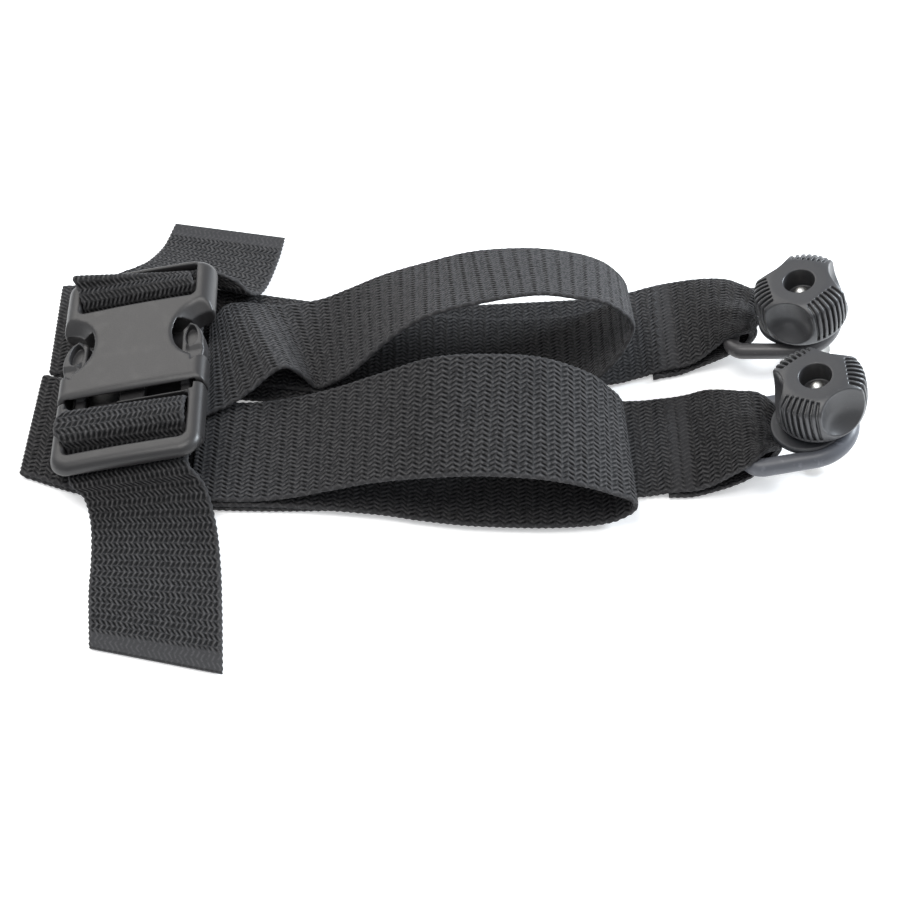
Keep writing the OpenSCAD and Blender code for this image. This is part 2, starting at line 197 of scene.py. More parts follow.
def webbing_material():
    """The same rows and ribs as weave() gives the mesh, with painted shade darkening the pits and a painted
    highlight lightening the ridges.
    """
    m = Nodes("webbing_weave")
    uv = m.add("UVMap")
    uv.uv_map = "UVMap"
    split = m.add("SeparateXYZ")
    m.link(uv.outputs[0], split.inputs[0])
    # noise makes the yarns a little uneven
    along = m.math("MULTIPLY_ADD", m.noise(330.0), 0.9, split.outputs[0])
    over = m.math("MULTIPLY_ADD", m.noise(410.0), 0.7, split.outputs[1])
    turn = m.math("PINGPONG", along, RIB)
    shift = m.math("MULTIPLY_ADD", turn, 2 * ZIGZAG / RIB, -ZIGZAG)
    wave = m.math("COSINE", m.math("MULTIPLY", m.math("ADD", over, shift), 2 * math.pi / ROW))
    valley = m.math("POWER", m.math("MULTIPLY_ADD", wave, -0.5, 0.5), VALLEY)
    rib = m.math("COSINE", m.math("MULTIPLY", along, math.pi / RIB))
    gap = m.math("POWER", m.math("SUBTRACT", 1.0, m.math("MULTIPLY", rib, rib)), GAP)
    pit = m.math("MULTIPLY", valley, gap)
    press = m.add("Attribute", attribute_name="press")
    pit = m.math("MULTIPLY", pit, m.math("SUBTRACT", 1.0, press.outputs["Fac"]))
    # fine yarn lines lean along the strap
    lean = m.math("ADD", over, m.math("MULTIPLY", along, 0.35))
    yarn = m.math("SINE", m.math("MULTIPLY", lean, 21.0))
    cloud = m.noise(38.0, 3.0)
    fleck = m.noise(900.0)
    lit = m.mix(cloud, (0.0135, 0.013, 0.0135), (0.022, 0.0212, 0.0216))
    # painted highlight: the crest of each row is painted lighter, in patches set by the fleck noise
    painted_crest_highlight = m.math("POWER", m.math("MULTIPLY_ADD", wave, 0.5, 0.5), 2.5)
    painted_crest_highlight = m.math("MULTIPLY", painted_crest_highlight, m.ramp(fleck, 0.3, 0.62))
    lit = m.mix(m.math("MULTIPLY", painted_crest_highlight, 0.75), lit, (0.098, 0.095, 0.096))
    dust = m.math("MULTIPLY", press.outputs["Fac"], 0.55)
    lit = m.mix(dust, lit, (0.046, 0.045, 0.047))
    # painted shade: the pits are painted near black, darker than the yarn's own tone
    colour = m.mix(m.ramp(pit, 0.16, 0.62), lit, (0.0012, 0.0012, 0.0015))
    m.link(colour, m.shader.inputs["Base Color"])
    height = m.math("MULTIPLY_ADD", yarn, 0.22, m.math("MULTIPLY", fleck, 0.5))
    height = m.math("MULTIPLY_ADD", pit, -2.2, height)
    m.bump(height, 0.0002)
    m.set(Roughness=0.7, Specular_IOR_Level=0.22, Sheen_Weight=0.06, Sheen_Roughness=0.4)
    m.shader.inputs["Sheen Tint"].default_value = (0.9, 0.92, 1.0, 1)
    return m.material


def plastic_material(name, dark, light, rough, grain=1600.0, edge_highlight=0.2):
    """Moulded plastic: slow tone changes, fine grain, and a painted highlight that makes the sharper edges
    lighter.
    """
    m = Nodes(name)
    cloud = m.noise(24.0, 3.0)
    speck = m.noise(grain)
    base = m.mix(cloud, dark, light)
    # painted highlight: sharp edges are painted lighter, broken up by the scuff noise
    edge_highlight_mask = m.ramp(m.add("NewGeometry").outputs["Pointiness"], 0.52, 0.62)
    scuff = m.ramp(m.noise(210.0, 4.0, (1, 1, 0.35)), 0.5, 0.75)
    edge_highlight_mask = m.math("MULTIPLY", edge_highlight_mask, m.math("MULTIPLY_ADD", scuff, 0.7, 0.3))
    edge_highlight_tone = tuple(min(1.0, c * 1.9 + 0.01) for c in light)
    m.link(m.mix(m.math("MULTIPLY", edge_highlight_mask, edge_highlight), base, edge_highlight_tone), m.shader.inputs["Base Color"])
    roughness = m.math("MULTIPLY_ADD", speck, 0.16, rough - 0.08)
    m.link(m.math("MULTIPLY_ADD", scuff, -0.06, roughness), m.shader.inputs["Roughness"])
    m.bump(speck, 0.00003)
    m.set(Specular_IOR_Level=0.5)
    return m.material


def metal_material(name, dark, light, rough, metallic):
    """Plated or painted metal: slow tone changes, small bright chips and a fine uneven gloss."""
    m = Nodes(name)
    cloud = m.noise(45.0, 4.0)
    grain = m.noise(500.0, 3.0)
    base = m.mix(cloud, dark, light)
    chips = m.math("MULTIPLY", m.ramp(m.noise(330.0, 5.0), 0.62, 0.7), 0.35)
    bright = tuple(min(1, 1.7 * c) for c in light)
    m.link(m.mix(chips, base, bright), m.shader.inputs["Base Color"])
    m.link(m.math("MULTIPLY_ADD", grain, 0.2, rough - 0.1), m.shader.inputs["Roughness"])
    m.bump(grain, 0.00002)
    m.set(Metallic=metallic, Specular_IOR_Level=0.5)
    return m.material


# ---------- meshes ----------


def mesh_object(name, verts, quads, tris=(), uv=None, press=None):
    """A smooth mesh object from arrays; verts are in row metres, uv and press have a value for each."""
    verts = np.asarray(verts, np.float32)
    quads = np.asarray(quads, np.int32).reshape(-1, 4)
    tris = np.asarray(tris, np.int32).reshape(-1, 3)
    loops = np.concatenate([quads.ravel(), tris.ravel()])
    starts = np.concatenate([np.arange(len(quads)) * 4, 4 * len(quads) + np.arange(len(tris)) * 3])
    me = bpy.data.meshes.new(name)
    me.vertices.add(len(verts))
    me.vertices.foreach_set("co", verts.ravel())
    me.loops.add(len(loops))
    me.loops.foreach_set("vertex_index", loops)
    me.polygons.add(len(starts))
    me.polygons.foreach_set("loop_start", starts.astype(np.int32))
    me.update(calc_edges=True)
    me.polygons.foreach_set("use_smooth", np.ones(len(starts), bool))
    if uv is not None:
        layer = me.uv_layers.new(name="UVMap")
        layer.data.foreach_set("uv", np.asarray(uv, np.float32)[loops].ravel())
    if press is not None:
        layer = me.attributes.new("press", "FLOAT", "POINT")
        layer.data.foreach_set("value", np.asarray(press, np.float32))
    o = bpy.data.objects.new(name, me)
    bpy.context.scene.collection.objects.link(o)
    return o


def finish_piece(o, material, body, slot, *nodes):
    """Material and CAD nodes of a piece; slot is not used."""
    o.data.materials.clear()
    o.data.materials.append(material)
    if body:
        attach(o, body)
    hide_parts(*nodes)


def clean_up(o, merge=1e-6):
    """Joins doubled points and turns the faces outwards; merge is in metres."""
    b = bmesh.new()
    b.from_mesh(o.data)
    bmesh.ops.remove_doubles(b, verts=b.verts, dist=merge)
    bmesh.ops.dissolve_degenerate(b, edges=b.edges, dist=merge)
    bmesh.ops.recalc_face_normals(b, faces=b.faces)
    b.to_mesh(o.data)
    b.free()


def skin_faces(rows, around):
    """Four-sided faces between rings of points, one ring after another."""
    i, j = np.meshgrid(np.arange(rows), np.arange(around), indexing="ij")
    j2 = (j + 1) % around
    faces = [i * around + j, i * around + j2, (i + 1) * around + j2, (i + 1) * around + j]
    return np.stack(faces, -1).reshape(-1, 4)


def spline(points, per):
    """Catmull-Rom through stations of any shape, per steps to a gap."""
    p = np.concatenate([points[:1], points, points[-1:]])
    t = (np.arange(per) / per).reshape([per] + [1] * (points.ndim - 1))
    out = []
    for i in range(1, len(p) - 2):
        a, b, c, d = p[i - 1], p[i], p[i + 1], p[i + 2]
        square, cube = 2 * a - 5 * b + 4 * c - d, 3 * b - a - 3 * c + d
        out.append(0.5 * (2 * b + (c - a) * t + square * t**2 + cube * t**3))
    return np.concatenate(out + [points[-1:]])


def unit(v):
    return v / np.maximum(np.linalg.norm(v, axis=-1, keepdims=True), 1e-9)


def weave(along, over):
    """Height of the webbing's face, 0 in a pit to 1 on a ridge, at millimetres along and across."""
    turn = np.abs((along / RIB) % 2 - 1)
    shift = ZIGZAG * (1 - 2 * turn)
    valley = (0.5 - 0.5 * np.cos(2 * np.pi * (over + shift) / ROW)) ** VALLEY
    gap = (np.sin(np.pi * along / RIB) ** 2) ** GAP
    ridge = 0.18 * np.cos(np.pi * along / RIB) ** 2
    return 1 - valley * gap + ridge


def stations_of(pairs):
    """Stations as (first edge, middle, second edge); a pair of edges gets its own middle."""
    out = []
    for s in pairs:
        a, b = np.array(s[0], float), np.array(s[-1], float)
        m = np.array(s[1], float) if len(s) == 3 else (a + b) / 2
        out.append([a, m, b])
    return np.array(out)


def resample(line, step):
    """Stations at even steps along their middle, and how far along each one is."""
    length = np.concatenate([[0], np.cumsum(np.linalg.norm(np.diff(line[:, 1], axis=0), axis=1))])
    u = np.linspace(0, length[-1], max(4, int(length[-1] / step)) + 1)
    even = np.stack([[np.interp(u, length, line[:, k, c]) for c in range(3)] for k in range(3)])
    return even.transpose(2, 0, 1), u


SELVEDGE = 1.6  # how far in from each edge the weave is changed by it


def pressed(u, rim, sealed, seams):
    """How flat the weave is pressed, 0 to 1, at a sealed end, under each seam and along both edges. u is
    the distance along and rim the distance to the nearer edge."""
    press = np.zeros_like(u)
    if sealed:
        press = np.clip((u - (u[-1] - sealed)) / 1.5, 0, 1)
    fade = 0.8
    for at, half in seams:
        press = np.maximum(press, np.clip((half + fade - np.abs(u - at)) / fade, 0, 1) * 0.8)
    return np.maximum(press * np.ones_like(rim), np.clip(1 - (rim - 0.4) / SELVEDGE, 0, 1)[None] * 0.75)


def ribbon(name, pairs, body, material, nodes, step=0.62, across=96, sealed=0.0, seams=(), start=0.0):
    """Webbing through the stations, as a closed mesh with two woven faces; returns it and its length.
    sealed is the length of the flattened cut end; seams are (position, half width) of sewn bands; start
    is where in the weave's pattern it begins."""
    line, u = resample(spline(stations_of(pairs), 16), step)
    edge = np.array([0, 0.1, 0.3, 0.6, 1.0]) / WEB_W
    inset = 1.5 / WEB_W
    s = np.concatenate([edge, np.linspace(inset, 1 - inset, across), 1 - edge[::-1]])
    over, rim = (s - 0.5) * WEB_W, np.minimum(s, 1 - s) * WEB_W
    u, t = u[:, None], s[None, :, None]
    along = u + start

    # the middle surface is a parabola through each station, thrown into pleats where it is gathered
    a, m, b = (line[:, k][:, None, :] for k in range(3))
    skin = a * (1 - t) * (1 - 2 * t) + 4 * m * t * (1 - t) + b * t * (2 * t - 1)
    wide = np.linalg.norm(np.diff(skin, axis=1), axis=2).sum(axis=1)
    gather = np.clip(0.9 - wide / WEB_W, 0, 1)[:, None]
    pleat = 1.7 * gather * np.cos(2 * np.pi * (2.6 * s[None] + 0.15))
    run, side = unit(np.gradient(skin, axis=0)), unit(np.gradient(skin, axis=1))
    up = unit(np.cross(side, run))
    # each edge is looped by the cross yarn, once a rib
    outward = np.where(s < 0.5, -1, 1) * np.clip(1 - rim / SELVEDGE, 0, 1)
    loops = 0.2 * np.cos(2 * np.pi * along / RIB)
    skin = skin + side * (outward * loops)[..., None] + up * pleat[..., None]

    # both faces, with the weave half a rib apart; the edges are round and a sealed end is thinner
    press = pressed(u, rim, sealed, seams)
    half = WEB_T / 2 * np.sqrt(np.clip(1 - np.clip(1 - rim, 0, 1) ** 2, 0, 1)) * np.ones_like(along)
    if sealed:
        half = half * (1 - 0.3 * np.clip((u - (u[-1] - sealed)) / 3, 0, 1))
    depth = RELIEF * np.minimum(half / (WEB_T / 2), 1)
    top, low = ((half + depth * (weave(along + shift, over) - 0.75) * (1 - press))[..., None]
                for shift in (0, RIB / 2))
    ring = np.concatenate([skin + up * top, (skin - up * low)[:, -2:0:-1]], axis=1)

    rows, around = len(u) - 1, ring.shape[1]
    caps, tips = [], []
    for r in (0, rows):
        for q in range(len(s) - 1):
            face = [q, q + 1, (around - q - 1) % around, (around - q) % around]
            face = list(dict.fromkeys(r * around + c for c in (face if r else face[::-1])))
            (caps if len(face) == 4 else tips).append(face)
    quads = np.concatenate([skin_faces(rows, around), np.array(caps).reshape(-1, 4)])
    under = np.where(np.arange(around) < len(s), 0, RIB / 2)
    uv = np.stack([np.broadcast_to(along, ring.shape[:2]) + under,
                   np.broadcast_to(np.concatenate([over, over[-2:0:-1]]), ring.shape[:2])], -1)
    press = np.concatenate([press, press[:, -2:0:-1]], axis=1)
    o = mesh_object(name, row(ring.reshape(-1, 3)), quads, tips, uv.reshape(-1, 2), press.ravel())
    finish_piece(o, material, body, "webbing", *nodes)
    return o, float(u[-1, 0])


# ---------- straps ----------

# the buckle's frame: where its middle is, rolled so that its right side is higher, and turned a little
BUCKLE_AT = np.array([-121, 24.7, 19.9])
ROLL, YAW = math.radians(12), math.radians(2)
BUCKLE_TURN = np.array(Matrix.Rotation(YAW, 3, "Z") @ Matrix.Rotation(-ROLL, 3, "Y"))


def on_buckle(p):
    """From the buckle's frame to the layout's."""
    return BUCKLE_AT + np.asarray(p, float) @ BUCKLE_TURN.T


PASS_HALF = 23.2  # half of the width that the webbing is squeezed to in the buckle


def through(y, z, left=0.0, right=0.0, skew=0.0, lap=0.0):
    """A station that passes square through the buckle; left and right raise its edges, skew moves it
    along the bar, and lap carries its left edge out over the rail."""
    return [on_buckle([-PASS_HALF + skew - lap, y, z + left]),
            on_buckle([skew / 2, y, z + (left + right) / 2]),
            on_buckle([PASS_HALF + skew, y, z + right])]


# Routes of the webbing. A station is its two edges, near edge first, with a middle where it is bowed.
# L1 to L3 are the heights of the first, second and third layer on the floor.
L1, L2, L3 = 0.95, 2.75, 4.55

NEAR_BOTTOM = [
    [[-160, -15, L1], [-158, 35.5, L1]], [[-135, -24, L1], [-130, 26.5, L1]],
    [[-100, -29.5, L1], [-98, 20, L1]], [[-60, -31, L1], [-60, 19, L1]],
    [[0, -29, L1], [0, 20.5, L1]], [[60, -25, L1], [60, 24, L1]],
    [[74, -24, 1.1], [74, 24.4, 1.1]], [[81, -23.6, 2.2], [81, 2, 2.5], [81, 24.3, 2.2]],
    [[87, -23.6, 3.2], [87, 2, 3.6], [87, 24.2, 3.3]], [[93, -23.6, 4.0], [93, 1, 6.0], [93, 24, 5.2]],
    [[99, -23.2, 7], [99, 0, 10], [99, 22.8, 9]], [[105, -22.4, 11.2], [105, -2, 14.6], [105.6, 19.6, 12.6]],
    [[110.6, -21.4, 15.0], [111, -4, 17.8], [111.4, 15.6, 16.2]],
    [[115.6, -18, 17.9], [116, -5, 16.9], [116.6, 13, 18.8]],
    [[120, -13.4, 15.8], [119.8, -4, 14.1], [121.6, 9, 18.8]],
    [[123.6, -10.6, 12.6], [123, -4, 11], [124.4, 4.4, 15.2]],
    [[120.4, -13, 8.6], [120.2, -5, 7.9], [120.2, 3.6, 8.4]],
    [[114.2, -18.6, 6.4], [114.2, -5, 6.9], [114, 8.6, 6.6]],
    [[107, -21.4, 4.4], [107, -4, 5.6], [107, 14, 5]],
    [[98.5, -23, 2.2], [98.5, -1, 3.0], [98.5, 20.6, 2.6]],
    [[91, -24.2, 1.0], [91, 0, 1.2], [91, 23.6, 1.1]], [[84, -24.4, L1], [84, 24, L1]],
    [[82.3, -24.4, L1], [82.3, 24, L1]]]

NEAR_MIDDLE = [
    [[-160, -15, L1], [-158, 35.5, L1]], [[-161, -15, 1.85], [-159, 35.5, 1.85]],
    [[-160, -15, L2], [-158, 35.5, L2 + 1]], [[-135, -24, L2], [-130, 26.5, L2 + 0.4]],
    [[-100, -29.5, L2], [-98, 20, L2]], [[-60, -31, L2], [-60, 19, L2]], [[-28, -34, L2], [-28, 16, L2]],
    [[-11, -37, L2], [-11, 13, L2]], [[8, -39.5, L2], [8, 10.5, L2]], [[34, -40.5, L2], [34, 9.5, L2]],
    [[52, -39.5, 2.8], [52, 10.5, 2.8]],
    [[61, -38.5, 4], [60, 11.5, 4.6]]]

NEAR_ARCH = [
    [[61, -38.5, 4], [60, 11.5, 4.6]], [[67, -37.5, 7.5], [64.2, 12, 8]], [[68.3, -37, 11], [65.4, 12, 13]],
    [[66, -37, 14.5], [63.7, 12, 18]], [[60, -37.5, 18], [60, 12, 22.5]], [[51, -38, 22.5], [52, 12, 30.5]],
    [[34, -38, 27.3], [35, 12, 38.5]], [[13, -37.5, 28.7], [16, 12.5, 40]],
    [[-7, -35.5, 25.5], [-6, 13.5, 37.3]], [[-28, -32, 18.5], [-27, 15.5, 26]],
    [[-45, -30, 11.5], [-44, 18, 15.5]], [[-60, -29.5, 6.7], [-60, 20, 8]],
    [[-75, -29.5, 4.7], [-74, 20, 5.2]], [[-88, -29, L3], [-88, 20.5, L3]],
    [[-97, -26.5, L3], [-97, 22, L3]]]

FAR_BOTTOM = [
    [[-156, 37.5, L1], [-157, 87.5, L1]], [[-130, 34, L1], [-128, 84, L1]],
    [[-100, 27.5, L1], [-98, 77.5, L1]],
    [[-50, 23.5, L1], [-50, 73.5, L1]], [[13, 28, L1], [13, 78, L1]], [[60, 33, L1], [58, 81.5, L1]],
    [[74, 36.6, 1.1], [73, 84.8, 1.1]], [[81, 38.4, 2.2], [81, 63, 2.5], [81, 86.6, 2.2]],
    [[87, 39.6, 3.2], [87, 64, 3.7], [87, 87.4, 3.4]], [[93, 40.4, 4], [93, 64, 6], [93, 86.6, 5.6]],
    [[99, 41.8, 6.4], [99, 63, 10], [99.6, 84.8, 8.6]],
    [[104.6, 44.4, 10], [105, 61, 14.4], [106.4, 82, 11.8]],
    [[108.4, 45.2, 13.8], [110, 58, 17.4], [112.6, 78.2, 14.8]],
    [[111.6, 44.6, 16.6], [113.8, 56.4, 18.4], [118, 72.6, 17.2]],
    [[116.2, 46.4, 17], [118.2, 56, 17], [121.8, 67.6, 18.8]],
    [[119.4, 48.8, 14.2], [121.2, 57, 13.2], [122.8, 64, 15]],
    [[118.6, 48.4, 9.4], [120.2, 56.4, 9.6], [121.6, 64, 10.6]],
    [[114.2, 46.2, 7.6], [116, 55.8, 8.2], [117.8, 66, 8.8]],
    [[108.6, 43.6, 5.6], [110, 57, 6.8], [112, 71.6, 7]], [[98, 41, 2.2], [98.6, 61, 3.2], [99.4, 83, 2.8]],
    [[91, 38.6, 1.0], [91, 62, 1.2], [91, 86.6, 1.1]], [[84, 37, L1], [83, 86, L1]],
    [[80.6, 36, L1], [81, 86, L1]]]

FAR_MIDDLE = [
    [[-156, 37.5, L1], [-157, 87.5, L1]], [[-157, 37.5, 1.85], [-158, 87.5, 1.85]],
    [[-156, 37.5, L2], [-157, 87.5, L2]],
    [[-130, 38, L2], [-128, 88, L2]], [[-100, 35.5, L2], [-98, 85.5, L2]], [[-50, 27, L2], [-50, 77, L2]],
    [[3, 19.5, L2], [3, 69, L2]], [[30, 18.5, 3.3], [30, 68, 2.8]]]

FAR_ARCH = [
    [[30, 18.5, 3.3], [30, 68, 2.8]], [[48, 20, 9.5], [48, 69, 3.6]],
    [[58, 22.5, 17.5], [59, 71, 5.1]], [[64, 25, 24], [65, 73, 6.9]], [[67.5, 27.5, 29.5], [69.5, 74.5, 10]],
    [[69.6, 30, 34.5], [70.5, 75, 14.2]], [[68.7, 30.5, 39], [69.5, 75, 17.5]],
    [[65, 30.5, 43.8], [66.5, 75, 22]], [[58, 30.5, 49], [60, 75, 28]], [[47, 30.5, 51.7], [49, 75, 32.5]],
    [[33, 31, 53], [32, 75.5, 34.5]], [[14, 30, 50.3], [10, 75.5, 33]], [[-8, 28, 44.5], [-9, 75, 27.5]],
    [[-23, 27, 33], [-26, 75.5, 20.5]], [[-37, 26, 17], [-41, 75.5, 12.5]], [[-46, 27, 8.5], [-53, 75, 7]],
    [[-52, 27.5, 5.2], [-68, 74, 4.8]], [[-57, 27.5, 12], [-74, 73.5, 5]], [[-63, 26, 18.5], [-80, 73.5, 6]],
    [[-69, 24, 17], [-86, 72.5, 7.5]], [[-77, 19, 12.5], [-91, 70, 8.5]], [[-85, 14.5, 9.5], [-94, 64, 9]],
    [[-95, 9.5, 8.4], [-96, 58, 8.4]]]

NEAR_TAIL = [
    through(-16, -7.9), through(-20.9, -6.2), through(-22.4, -2.6), through(-22.8, 1.4, left=1),
    through(-24.6, 4.4, left=2.6, lap=1.6), through(-28, 5.6, left=2, lap=3.6),
    through(-32, 5.7, left=1.8, lap=3.9), through(-35.4, 4.6, left=2.6, lap=3.4),
    through(-37.6, 1.8, left=3.4, lap=1), through(-39, -1.4, left=1), through(-42, -3.2),
    through(-50.5, -3.9), [[-135.5, -31.5, 9], [-90, -29.5, 14]], [[-132.5, -40, 4.5], [-86, -41, 7]],
    [[-131, -54, 1.7], [-83.5, -56, 2.5]], [[-130, -70, 1.1], [-81.5, -75, 1.1]],
    [[-127, -93, L1], [-79, -104, L1]]]

FAR_TAIL = [
    through(19, -8.2), through(28, -8.4), through(31.6, -6.8), through(33.4, -2.4), through(34.6, 2),
    through(36.2, 4.4, left=0.6), through(38.5, 5.1, left=1.6, skew=-0.8),
    through(41.4, 4.6, left=3, skew=-1.6), through(43.6, 3.6, left=7.4, skew=-2.4),
    through(45.4, 1.4, left=9, right=-1, skew=-2.6), through(46.2, -1.4, left=6, right=-0.6, skew=-2.2),
    through(48.8, -2.8, left=0.6, skew=-1.4), through(53, -3.4),
    [[-136, 83, 13], [-86.5, 76.5, 17]], [[-129, 89, 11.5], [-79.5, 74, 11]],
    [[-124.5, 97, 8], [-75.5, 82, 6.5]], [[-120.5, 111.5, 2.6], [-72, 101.5, 2.6]],
    [[-117.5, 127, L1], [-70, 118, L1]]]


def hairpin(y0, y1, lift):
    """Folded layers under the buckle: left along the pile, round, and back under the buckle, whose
    underside is at -6 in its own frame."""
    low = [[[x, y0, lift], [x, y1, lift]] for x in (-99, -118, -136, -143)]
    bend = [[[-147.5, y0, lift + 0.9], [-147.5, y1, lift + 0.9]]]
    y0, y1 = y0 - BUCKLE_AT[1], y1 - BUCKLE_AT[1]
    high = [[on_buckle([x, y, -6 - gap]) for y in (y0, y1)]
            for x, gap in ((-24, 1.5), (-10, 1.3), (8, 1.3), (22, 1.3))]
    return low + bend + high


LOWER_STEP = 0.72  # coarser, since the lower sheets are the longest
FOLD = {"step": 1.2, "across": 50}  # coarser still, since the folds are hidden
TAIL_SEAL = 8.5  # length of a tail's flattened end


def straps():
    """The near strap, the far strap, their tails and their hidden folds. Each lower sheet blends into its
    ring between the sewn end and the ring's bar."""
    web = webbing_material()
    o, n = ribbon("near_bottom_webbing", NEAR_BOTTOM, None, web, ("near_lower_run", "near_sewn_end"),
                  step=LOWER_STEP, seams=((247.5, 1.3), (252, 1.3)))
    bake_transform(o)
    o, n = ribbon("near_middle_webbing", NEAR_MIDDLE, "harness", web, ("near_middle_run",))
    o, n = ribbon("near_arch_webbing", NEAR_ARCH, "harness", web, ("near_arch",), start=n % (2 * RIB))
    o, n = ribbon("far_bottom_webbing", FAR_BOTTOM, None, web, ("far_lower_run", "far_sewn_end"),
                  step=LOWER_STEP, seams=((243.5, 1.3), (248, 1.3)))
    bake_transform(o)
    o, n = ribbon("far_middle_webbing", FAR_MIDDLE, "harness", web, ("far_middle_run",))
    o, n = ribbon("far_arch_webbing", FAR_ARCH, "harness", web, ("far_arch",), start=n % (2 * RIB))
    o, n = ribbon("near_tail_webbing", NEAR_TAIL, "plug", web, ("near_tail",), sealed=TAIL_SEAL)
    o, n = ribbon("far_tail_webbing", FAR_TAIL, "harness", web, ("far_tail",), sealed=TAIL_SEAL)
    o, n = ribbon("near_fold_webbing", hairpin(-18, 23, 6.4), "harness", web, ("near_fold",), **FOLD)
    o, n = ribbon("far_fold_webbing", hairpin(26, 60, 5.2), "harness", web, ("far_fold",), **FOLD)


# ---------- solid shapes from distance fields ----------


class Field:
    """A signed distance field on a grid of millimetres, negative inside."""

    def __init__(self, low, high, cell):
        self.low, self.cell = np.array(low, float), cell
        axes = [np.arange(a, b + cell, cell, dtype=np.float32) for a, b in zip(low, high)]
        self.x, self.y, self.z = np.meshgrid(*axes, indexing="ij")

    def mesh(self, name, d, to_row):
        grid = openvdb.FloatGrid(background=5.0)
        grid.copyFromArray(np.ascontiguousarray(d, np.float32))
        points, tris, quads = grid.convertToPolygons(0.0, 0.0)
        points = self.low + np.asarray(points, float) * self.cell
        return mesh_object(name, to_row(points), quads[:, ::-1], tris[:, ::-1])


def both(a, b, k=0.0):
    """The smooth intersection of two fields: the larger distance, rounded over k."""
    h = np.maximum(k - np.abs(a - b), 0) / max(k, 1e-6)
    return np.maximum(a, b) + h * h * k * 0.25


def either(a, b, k=0.0):
    """The smooth union of two fields."""
    return -both(-a, -b, k)


def cut(a, b, k=0.0):
    """Field a with b taken out of it."""
    return both(a, -b, k)


def block(f, centre, half, r):
    """A box with rounded edges."""
    q = [np.abs(v - c) - h + r for v, c, h in zip((f.x, f.y, f.z), centre, half)]
    out = np.sqrt(sum(np.maximum(v, 0) ** 2 for v in q))
    return out + np.minimum(np.maximum(np.maximum(q[0], q[1]), q[2]), 0) - r


def plate(x, y, half, r):
    """A rounded rectangle in the plane."""
    qx, qy = np.abs(x) - half[0] + r, np.abs(y) - half[1] + r
    return np.hypot(np.maximum(qx, 0), np.maximum(qy, 0)) + np.minimum(np.maximum(qx, qy), 0) - r


def buckle_to_row(points):
    return row(BUCKLE_AT + points @ BUCKLE_TURN.T)


CELL = 0.3  # grid of the small fields; the buckle's halves have BUCKLE_CELL
BUCKLE_CELL = 0.42
SEAM = -16.4  # where the plug's frame meets the female half
HALF_W = 29.5
WINDOW_HALF = 23.6  # half of the width of both windows for webbing
CATCH_SLOPE = 0.7  # how far the catch rises along the buckle for each millimetre outwards


def cross_bar(f, y):
    """The bar inside a window, which the webbing turns round; its ends run into the rails."""
    return np.maximum(np.hypot(f.y - y, f.z - 1.5) - 2, np.abs(f.x) - 24.4)


def female():
    """The female half, with its catches, its side openings and the far strap's window."""
    f = Field((-32, -19.5, -8), (32, 53, 9), BUCKLE_CELL)
    x, y, z = f.x, f.y, f.z
    outline = np.maximum(plate(x, y - 11, (HALF_W, 40), 9), SEAM - y)
    crown = 6.0 - 0.9 * (x / HALF_W) ** 2 - 0.5 * np.clip((y - 30) / 20, 0, 1)
    body = both(outline, np.abs(z) - crown, 4.6)
    body = both(body, SEAM - y, 1.4)
    # bulky shoulders beside the far window
    shoulder = np.hypot(np.abs(x) - 25.2, z + 0.2) - 5.4
    shoulder = both(shoulder, np.abs(y - 33.5) - 15, 5)
    body = either(body, shoulder, 1.6)
    for side in (-1, 1):
        round_cut = np.hypot(x - side * (26.9 - 0.6 * side), y - 9.0) - 9.0
        body = cut(body, round_cut, 1.0)
        # the lip round the cut slopes down into it, and is wider on the far side
        dish = np.hypot(x - side * 28.4, (y - 11.4) * 0.86) - (9.2 + 0.95 * np.maximum(z - 1.5, 0))
        body = cut(body, dish, 1.2)
        # the side is open from the sloping catch, which holds the arm's shoulder, up to the round cut
        catch = -1.6 + (side * x - HALF_W) * CATCH_SLOPE
        mouth = np.maximum(np.maximum(24.0 - side * x, catch - y), y - 12)
        body = cut(body, mouth, 0.6)
        # room under the roof for the pad to swing inward
        body = cut(body, block(f, (side * 22, 7.6, 0.5), (9, 10.8, 4.4), 0.3), 0.2)
    body = cut(body, plate(x, y - 38.9, (WINDOW_HALF, 8.9), 2.2), 1.5)
    # the end bar is thin, so that the tail can pass under it
    body = cut(body, np.maximum(np.maximum(46.6 - y, z - 0.5), np.abs(x) - 24), 1.2)
    body = either(body, cross_bar(f, 38.5), 0.8)
    # the hollow that the plug's arms and tongue slide in
    body = cut(body, block(f, (0, -2, 0), (26, 21, 3.8), 0.4), 0.3)
    return f.mesh("female_shell", body, buckle_to_row)


def plug():
    """The plug's frame with the near strap's window and the tongue; its arms are pieces of their own."""
    f = Field((-32, -54, -8), (32, 16, 8), BUCKLE_CELL)
    x, y, z = f.x, f.y, f.z
    top = 5.5 - 0.8 * (x / HALF_W) ** 2
    outline = plate(x, y + 29, (HALF_W - 0.2, 22), 8)
    body = both(outline, np.abs(z) - top, 4.2)
    body = both(body, y - (SEAM - 0.5), 0.8)
    body = cut(body, plate(x, y + 32, (WINDOW_HALF, 11.3), 2.6), 1.6)
    # the end bar is a rounded rail that rises clear of the webbing
    body = cut(body, np.maximum(y + 42.6, z - 0.2), 1.6)
    # behind the window's edge the frame drops away, and leaves a thin ridge with a step in it
    ridge_top = np.where(x > -5, 4.2, 2.2)
    shelf = np.maximum(np.maximum(-20.0 - y, 0.6 - z), np.abs(x) - 25.4)
    body = cut(body, shelf, 0.3)
    body = cut(body, np.maximum(np.maximum(-21.6 - y, ridge_top - z), np.abs(x) - WINDOW_HALF), 0.4)
    for side in (-1, 1):
        # where the arm leaves the frame
        body = cut(body, block(f, (side * 21, -16.2, 0), (4, 3, 9), 0.2))
    body = either(body, cross_bar(f, -32), 0.8)
    tongue = block(f, (0, -4.2, -0.6), (5, 15.4, 2.0), 0.8)
    body = either(body, tongue, 0.4)
    return f.mesh("plug_frame_shell", body, buckle_to_row)


